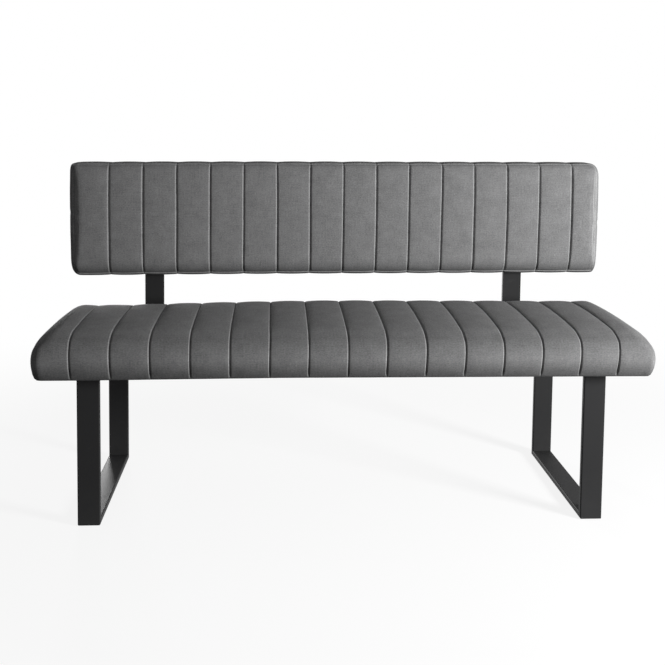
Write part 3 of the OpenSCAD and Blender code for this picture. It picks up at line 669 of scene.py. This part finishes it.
# Painted light on the backrest's cover, by height over its bottom: painted shade on the border strip below
# the seam, a painted highlight line just above it, painted shade that eases off up the lower panel, and
# painted shade along the top edge
back_painted_light = ((0.0, 0.0040, 0.0050, 0.0066, 0.0078, 0.014, 0.024, 0.034, 0.046, 0.275, 0.288, 0.298),
            (0.20, 0.22, 1.0, 1.0, 0.52, 0.62, 0.80, 0.93, 1, 1, 0.92, 0.8))
back_groove = (0.0047, 0.0036, 0.0052)
back_slope, back_sag = 0.006, 0.002
back_wider_left, back_wider_right = Vector((0.0016, 0, 0)), Vector((0.0042, 0, 0))
border_turn_top, border_turn_bottom, border_turn_sides = np.radians((56, 48, 34))
border_depth, border_width, border_bend = 0.0026, 0.0034, 1.3

y0, y1, z0, z1 = back_lo.y + back_crown, back_hi.y, back_lo.z, back_hi.z
r, q = back_edge_r, back_rear_r
lean = math.degrees(math.atan(4 * back_crown / (z1 - z0 - 2 * r)))
turn, h = math.radians(back_low_turn), back_hem_r
low_y, low_z = y0 + back_low_r - (back_low_r - h) * math.cos(turn), z0 + h
low_mid = y0 + back_low_r, low_z + (back_low_r - h) * math.sin(turn)
low_edge = side_of_ring(arc(*low_mid, back_low_r, 180 + back_low_turn, 225, 8),
                        arc(*low_mid, back_low_r, 225, 180 + lean, 8))
high_edge = arc(y0 + r, z1 - r, r, 180 - lean, 135, 10)
back_ring, *back_steps = ring_from(
    side_of_ring(low_edge, line(low_edge[-1], high_edge[0], 44, (-back_crown, 0)), high_edge),
    side_of_ring(arc(y0 + r, z1 - r, r, 135, 90, 10),
                 line((y0 + r, z1), (y1 - q, z1), 8),
                 arc(y1 - q, z1 - q, q, 90, 45, 3)),
    side_of_ring(arc(y1 - q, z1 - q, q, 45, 0, 3),
                 line((y1, z1 - q), (y1, z0 + q), 64),
                 arc(y1 - q, z0 + q, q, 0, -45, 3)),
    side_of_ring(arc(y1 - q, z0 + q, q, -45, -90, 3),
                 line((y1 - q, z0), (low_y, z0), 8),
                 arc(low_y, low_z, h, 270, 180 + back_low_turn, 10)))

# The seams are full over the front panel and shallow over the border, and none is at the rear
panel_run_z, panel_run_y = 0.012, 0.009
strip_share, strip_end, strip_run = 0.22, 0.045, 0.03
back_puff_share, puff_gap, puff_run, rear_strip = 0.65, 0.001, 0.006, 0.004
from_edge = np.minimum(back_ring[:, 1] - z0, z1 - back_ring[:, 1])
from_border = np.clip((y0 + r - back_ring[:, 0]) / panel_run_y, 0, 1)
over_panel = np.clip(from_edge / panel_run_z, 0, 1) * from_border
over_strip = strip_share * np.clip((y0 + strip_end - back_ring[:, 0]) / strip_run, 0, 1)
back_shape = dict(ring=back_ring, steps=back_steps, lo=back_lo - back_wider_left,
                  hi=back_hi + back_wider_right, corners=back_corners, cap_swell=0.001)
back, back_normals = sewn_cushion(
    "backrest_cushion", back_shape, back_lo.x + back_seam_shift + pitch * np.arange(1, channels),
    shares=np.tile(np.maximum(over_panel, over_strip), (channels - 1, 1)),
    held=back_ring[:, 0] > back_hi.y - rear_strip, travel=back_travel, seed=23,
    painted_light=back_painted_light, groove_sizes=back_groove,
    puffed=back_puff_share * np.clip((back_hi.y - puff_gap - back_ring[:, 0]) / puff_run, 0, 1),
    end_steps=18)

# The border's seam lies where the cushion's surface has turned away from the front by a
# set angle. Then the whole cushion is set a little out of level.
border_line_off = 0.0003
across_front = np.maximum(np.hypot(back_normals[:, 0], back_normals[:, 2]), 1e-6)
facing_side, facing_up = back_normals[:, 0] / across_front, back_normals[:, 2] / across_front
facing_down = np.clip(-facing_up, 0, 1) ** 2
curve_r = back_edge_r + (back_low_r - back_edge_r) * facing_down
border_turn = (np.clip(facing_up, 0, 1) ** 2 * border_turn_top + facing_down * border_turn_bottom
               + facing_side ** 2 * border_turn_sides)
turned_away = np.arccos(np.clip(-back_normals[:, 1], -1, 1))
border_off = np.abs(turned_away - border_turn) * curve_r
border_in = border_depth * pinch(border_off, border_width, border_bend)
points = points_of(back.data) - back_normals * border_in[:, None]
points[:, 2] += back_slope * points[:, 0]
points[:, 2] -= back_sag * np.clip(-points[:, 0] / back_hi.x, 0, 1) ** 2
move_points(back.data, points)
# The border seam gets the painted seam shade and highlight too
near = np.zeros(len(border_off))
back.data.attributes["seam_near"].data.foreach_get("value", near)
near = np.minimum(near, border_off + border_line_off)
back.data.attributes["seam_near"].data.foreach_set("value", near)
back.data.materials.append(upholstery)
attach(back, "root")
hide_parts("backrest_cover")


# The foam inside both cushions: two blocks of cut upholstery foam, glued to the seat's
# deck and to the backrest's board.
foam_colour, foam_shade = (0.80, 0.70, 0.44, 1), (0.62, 0.50, 0.26, 1)
foam = blank_material("upholstery_foam")
tree = foam.node_tree
place = node(tree, "TexCoord").outputs["Object"]
cells = node(tree, "TexVoronoi", {"Vector": place, "Scale": 700.0}).outputs["Distance"]
aged = noise(tree, place, scale=14.0, detail=4.0)
surface(tree, {"Base Color": tinted(tree, aged, foam_colour, foam_shade),
               "Roughness": spread(tree, cells, 0.8, 0.15),
               "Normal": bump(tree, cells, strength=0.5, depth=0.0008), "Subsurface Weight": 0.05})
soft_gap = 0.0005


def foam_block(name, cad_node, shape, cover, inset):
    """A block of foam that follows its cover, a set distance inside it and down to its own board"""
    ring, steps, corners = shape["ring"], shape["steps"], shape["corners"]
    lo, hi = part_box(cad_node)
    lo = Vector((lo.x + soft_gap, max(lo.y, cover[0].y + inset), lo.z))
    hi = Vector((hi.x - soft_gap, min(hi.y, cover[1].y - inset), cover[1].z - inset))
    share = (ring - ring.min(0)) / (ring.max(0) - ring.min(0))
    own_ring = share * np.array([hi.y - lo.y, hi.z - lo.z]) + np.array([lo.y, lo.z])
    bend = corners.max() * (1 - np.cos(np.radians(np.linspace(0, 90, 8))))
    between = np.linspace(lo.x + bend[-1], hi.x - bend[-1], 50)[1:-1]
    xs = np.concatenate([lo.x + bend, between, (hi.x - bend)[::-1]])
    points = pad_points(xs, **{**shape, "ring": own_ring, "lo": lo, "hi": hi})
    block = smooth_mesh(name, points, pad_faces(len(xs), steps))
    block.data.materials.append(foam)
    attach(block, "root")
    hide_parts(cad_node)


seat_foam_corners = np.array([(0.020, 0.040, 0.002, 0.040), (0.020, 0.026, 0.002, 0.040)])
seat_outside = Vector((0, seat_front_y, seat_lo.z)), Vector((0, seat_hi.y, seat_rear_z))
foam_block("seat_foam_block", "seat_foam",
           dict(ring=seat_ring, steps=seat_steps, corners=seat_foam_corners, droop=seat_droop),
           cover=seat_outside, inset=0.020)
foam_block("backrest_foam_block", "backrest_foam",
           dict(ring=back_ring, steps=back_steps, corners=np.full((2, 4), 0.006)),
           cover=(back_lo, back_hi), inset=0.018)


# The rear panel of the backrest: a plain piece of the same cloth, drawn flat over the
# board between the cushion's turned edges and clamped under the steel uprights.
def cloth_panel(name, width, length, corner_r, thick, place, sag, columns, rows):
    """A thin closed sheet with round corners. place turns (x, y, depth) into a point, depth being
    along its thickness, and sag gives how far the cloth hangs out of its plane at (x, y)."""
    bunching, edge_round, no_seam, no_painted_light = 0.35, 1.5, 1.0, 1.0
    us, vs = (t * (1 - bunching) + np.sin(t * math.pi / 2) * bunching
              for t in (np.linspace(-1, 1, columns + 1), np.linspace(-1, 1, rows + 1)))
    x = us * width / 2
    half = length / 2 - fall_back(width / 2 - np.abs(x), corner_r)
    x, y = np.repeat(x[:, None], rows + 1, 1), half[:, None] * vs[None, :]
    edge = np.minimum(width / 2 - np.abs(x), half[:, None] - np.abs(y))
    swell = thick / 2 * np.sqrt(np.clip(edge / (edge_round * thick), 0, 1))
    hang = sag(x, y)
    outer = np.stack([x, y, hang + swell], 2).reshape(-1, 3)
    inner = np.stack([x, y, hang - swell], 2).reshape(-1, 3)
    n = rows + 1
    quads = [(i * n + j, (i + 1) * n + j, (i + 1) * n + j + 1, i * n + j + 1)
             for i in range(columns) for j in range(rows)]
    count = len(outer)
    faces = quads + [tuple(k + count for k in reversed(quad)) for quad in quads]
    rim = ([i * n for i in range(columns)] + [columns * n + j for j in range(rows)]
           + [i * n + rows for i in range(columns, 0, -1)] + list(range(rows, 0, -1)))
    faces += [(b, a, a + count, b + count) for a, b in zip(rim, rim[1:] + rim[:1])]
    laid = np.concatenate([outer, inner])
    sheet = smooth_mesh(name, [place(*p) for p in laid], faces)
    corner_points = np.zeros(len(sheet.data.loops), int)
    sheet.data.loops.foreach_get("vertex_index", corner_points)
    # These sheets get no painted light: their colour is left as it is
    lay_cloth(sheet, laid[corner_points], np.full(len(laid), no_seam), np.full(len(laid), no_painted_light))
    return sheet


panel_lo, panel_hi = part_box("backrest_rear_cover")
panel_width, panel_height = panel_hi.x - panel_lo.x, panel_hi.z - panel_lo.z
panel_thick = panel_hi.y - panel_lo.y
panel_mid_y, panel_mid_z = (panel_hi.y + panel_lo.y) / 2, (panel_hi.z + panel_lo.z) / 2
post_x = (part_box("right_back_post")[0].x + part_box("right_back_post")[1].x) / 2


def panel_slack(x, y):
    """How far the panel draws in between the uprights, in long shallow pulls"""
    slack, post_gap, post_run, edge_run = 0.00022, 0.03, 0.08, 0.05
    from_post = np.minimum(np.abs(x - post_x), np.abs(x + post_x))
    free = np.clip((from_post - post_gap) / post_run, 0, 1)
    free = free * np.clip((panel_height / 2 - np.abs(y)) / edge_run, 0, 1)
    pulls = 0.5 + 0.5 * np.sin(x * 38 + 1.4 * np.sin(y * 26 + x * 7))
    return slack * free * pulls


def on_backrest(x, y, depth):
    """A place on the rear panel, which is out of level like its cushion"""
    return x, panel_mid_y - depth, panel_mid_z + y + back_slope * x


rear_panel = cloth_panel("backrest_rear_panel", panel_width, panel_height, corner_r=0.015,
                         thick=panel_thick, place=on_backrest, sag=panel_slack, columns=180, rows=46)
rear_panel.data.materials.append(upholstery)
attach(rear_panel, "root")
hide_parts("backrest_rear_cover")


# The dust cover: black non-woven cloth stapled under the seat, over the cover's turned
# hem. It sags a little between the staples and the steel that clamps it.
dust_black, dust_fibre = (0.012, 0.012, 0.012, 1), (0.035, 0.035, 0.035, 1)
non_woven = blank_material("black_non_woven_cloth")
tree = non_woven.node_tree
place = node(tree, "TexCoord").outputs["Object"]
fibres = calc(tree, "MULTIPLY", noise(tree, place, scale=500.0, detail=5.0, rough=0.7, stretch=(1, 0.3, 1)),
              noise(tree, place, scale=420.0, detail=5.0, rough=0.7, stretch=(0.3, 1, 1)))
dots = node(tree, "TexVoronoi", {"Vector": place, "Scale": 420.0, "Randomness": 0.1}).outputs["Distance"]
fibre_share = calc(tree, "MULTIPLY", fibres, 2.2)
surface(tree, {"Base Color": tinted(tree, fibre_share, dust_black, dust_fibre),
               "Roughness": spread(tree, dots, 0.75, 0.2), "Specular IOR Level": 0.3,
               "Normal": bump(tree, calc(tree, "ADD", fibres, dots), strength=0.4, depth=0.0004)})

dust_lo, dust_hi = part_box("seat_dust_cover")
dust_width, dust_length, dust_thick = dust_hi.x - dust_lo.x, dust_hi.y - dust_lo.y, dust_hi.z - dust_lo.z
dust_mid = (dust_lo + dust_hi) / 2
clamped = [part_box(name) for name in ("left_top_rail", "right_top_rail", "left_back_arm", "right_back_arm")]
dust_sag = 0.0035


def dust_hang(x, y):
    """The hang of the dust cover, below zero: none at its staples or under the steel"""
    edge_gap, edge_run, steel_gap, steel_run = 0.02, 0.08, 0.006, 0.05
    y = y + dust_mid.y
    free = np.clip((dust_width / 2 - np.abs(x) - edge_gap) / edge_run, 0, 1)
    free = free * np.clip((dust_hi.y - y - edge_gap) / edge_run, 0, 1)
    free = free * np.clip((y - dust_lo.y - edge_gap) / edge_run, 0, 1)
    for lo, hi in clamped:
        off_x = np.maximum(np.maximum(lo.x - x, x - hi.x), 0)
        off_y = np.maximum(np.maximum(lo.y - y, y - hi.y), 0)
        free = free * np.clip((np.hypot(off_x, off_y) - steel_gap) / steel_run, 0, 1)
    unevenness = 0.8 + 0.2 * np.sin(x * 21 + 2 * np.sin(y * 17))
    return -dust_sag * free * free * (3 - 2 * free) * unevenness


def under_seat(x, y, depth):
    """A place on the dust cover"""
    return x, dust_mid.y + y, dust_mid.z + depth


dust_cover = cloth_panel("seat_dust_cover_cloth", dust_width, dust_length, corner_r=0.002,
                         thick=dust_thick, place=under_seat, sag=dust_hang, columns=160, rows=48)
dust_cover.data.materials.append(non_woven)
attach(dust_cover, "root")
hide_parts("seat_dust_cover")


# The leg frames, back brackets and their welds: flat tube and flat bar of steel, under a
# black powder coat with a fine orange-peel skin, a little scuffed, and dusty low down.
steel_black, steel_dust = (0.020, 0.020, 0.0205, 1), (0.06, 0.06, 0.06, 1)
coat, inp = new_group("powder coat",
                      [("Place", "Vector", (0, 0, 0)), ("Colour", "Color", (0.02, 0.02, 0.02, 1)),
                       ("Dust", "Color", (0.08, 0.08, 0.08, 1)), ("Dust Height", "Float", 0.12)],
                      [("Colour", "Color"), ("Roughness", "Float"), ("Height", "Float")])
height = node(coat, "SeparateXYZ", {0: inp["Place"]}).outputs[2]
low = ramp(coat, height, 0.0, inp["Dust Height"], 0.30, 0.03)
settled = calc(coat, "MULTIPLY", low, noise(coat, inp["Place"], scale=35.0, detail=5.0, rough=0.65))
scuff_noise = noise(coat, inp["Place"], scale=18.0, detail=6.0, rough=0.7, stretch=(1, 1, 2.5))
scuffs = ramp(coat, scuff_noise, 0.62, 0.8, 0.0, 0.35)
peel = noise(coat, inp["Place"], scale=1300.0, detail=2.0)
rougher = calc(coat, "ADD", calc(coat, "MULTIPLY", scuffs, 0.4), calc(coat, "MULTIPLY", peel, 0.12))
close_group(coat, Colour=tinted(coat, calc(coat, "ADD", settled, scuffs), inp["Colour"], inp["Dust"]),
            Roughness=calc(coat, "ADD", 0.50, rougher), Height=peel)

steel = blank_material("black_powder_coat")
tree = steel.node_tree
coated = node(tree, "Group", {"Place": node(tree, "TexCoord").outputs["Object"], "Colour": steel_black,
                              "Dust": steel_dust}, node_tree=coat).outputs
surface(tree, {"Base Color": coated["Colour"], "Roughness": coated["Roughness"], "Specular IOR Level": 0.08,
               "Normal": bump(tree, coated["Height"], strength=0.12, depth=0.0003)})
for side in ("left", "right"):
    for part in ("front_leg", "rear_leg", "floor_runner", "top_rail", "back_post", "back_arm"):
        cad_pieces[side + "_" + part].material_slots[0].material = steel
cad_pieces["bracket_welds"].material_slots[0].material = steel


# The bolts, washers, nuts, screws and staples: zinc-plated steel, turned and pressed,
# with fine handling marks.
zinc_dull, zinc_pale = (0.52, 0.53, 0.55, 1), (0.66, 0.66, 0.64, 1)
zinc = blank_material("zinc_plate")
tree = zinc.node_tree
place = node(tree, "TexCoord").outputs["Object"]
patches = noise(tree, place, scale=260.0, detail=4.0, rough=0.6)
marks = noise(tree, place, scale=900.0, rough=0.6, stretch=(1, 6, 1))
surface(tree, {"Base Color": tinted(tree, patches, zinc_dull, zinc_pale), "Metallic": 1.0,
               "Roughness": spread(tree, patches, 0.34, 0.2),
               "Normal": bump(tree, marks, strength=0.1, depth=0.0002)})
for name in ("leg_bolts", "leg_washers", "arm_bolts", "arm_washers", "backrest_bolts", "backrest_washers",
             "backrest_t_nuts", "seat_t_nuts", "deck_screws", "seat_staples"):
    cad_pieces[name].material_slots[0].material = zinc


# The wooden frame and boards inside the cushions: planed pine rails, and plywood for the
# deck and the backrest's board.
grain, inp = new_group("wood grain",
                       [("Place", "Vector", (0, 0, 0)), ("Light", "Color", (0.6, 0.4, 0.2, 1)),
                        ("Dark", "Color", (0.4, 0.25, 0.1, 1)), ("Rings", "Float", 60.0)],
                       [("Colour", "Color"), ("Roughness", "Float"), ("Height", "Float")])
grain_stretch, grain_swirl = (0.15, 1, 1), 0.06
lengthwise = node(grain, "Mapping", {"Vector": inp["Place"], "Scale": grain_stretch}).outputs[0]
swirl = node(grain, "VectorMath", {0: noise(grain, inp["Place"], scale=5.0), "Scale": grain_swirl},
             operation="SCALE").outputs[0]
swirled = node(grain, "VectorMath", {0: lengthwise, 1: swirl}, operation="ADD").outputs[0]
bands = node(grain, "TexWave", {"Vector": swirled, "Scale": inp["Rings"], "Distortion": 2.0, "Detail": 3.0},
             bands_direction="Y").outputs["Fac"]
pores = noise(grain, inp["Place"], scale=260.0, detail=4.0, rough=0.7, stretch=(0.06, 1, 1))
dark_share = calc(grain, "MULTIPLY", bands, calc(grain, "ADD", 0.4, pores))
close_group(grain, Colour=tinted(grain, dark_share, inp["Light"], inp["Dark"]),
            Roughness=spread(grain, pores, 0.5, 0.25), Height=calc(grain, "ADD", bands, pores))


def wooden(name, light, dark, rings, cad_nodes):
    """One wood finish, put on the pieces that are made of it"""
    made = blank_material(name)
    tree = made.node_tree
    wood = node(tree, "Group", {"Place": node(tree, "TexCoord").outputs["Object"], "Light": light,
                                "Dark": dark, "Rings": rings}, node_tree=grain).outputs
    surface(tree, {"Base Color": wood["Colour"], "Roughness": wood["Roughness"],
                   "Normal": bump(tree, wood["Height"], strength=0.15, depth=0.0004)})
    for cad_node in cad_nodes:
        cad_pieces[cad_node].material_slots[0].material = made


wooden("planed_pine", light=(0.62, 0.42, 0.22, 1), dark=(0.42, 0.24, 0.10, 1), rings=55.0,
       cad_nodes=["seat_front_rail", "seat_rear_rail", "seat_left_rail", "seat_right_rail",
                  "left_leg_cross_rail", "left_arm_cross_rail", "centre_cross_rail",
                  "right_arm_cross_rail", "right_leg_cross_rail"])
wooden("birch_plywood", light=(0.56, 0.40, 0.24, 1), dark=(0.40, 0.26, 0.13, 1), rings=30.0,
       cad_nodes=["seat_deck", "backrest_board"])


# The floor glides: moulded black plastic with a fine spark-eroded grain, plugged into
# the floor runners.
plastic_black, plastic_worn = (0.010, 0.010, 0.010, 1), (0.028, 0.028, 0.027, 1)
plastic = blank_material("black_moulded_plastic")
tree = plastic.node_tree
place = node(tree, "TexCoord").outputs["Object"]
spark = noise(tree, place, scale=1600.0, rough=0.6)
wear = noise(tree, place, scale=70.0, detail=4.0)
surface(tree, {"Base Color": tinted(tree, wear, plastic_black, plastic_worn),
               "Roughness": spread(tree, wear, 0.42, 0.25),
               "Normal": bump(tree, spark, strength=0.2, depth=0.0003)})
cad_pieces["floor_glides"].material_slots[0].material = plastic
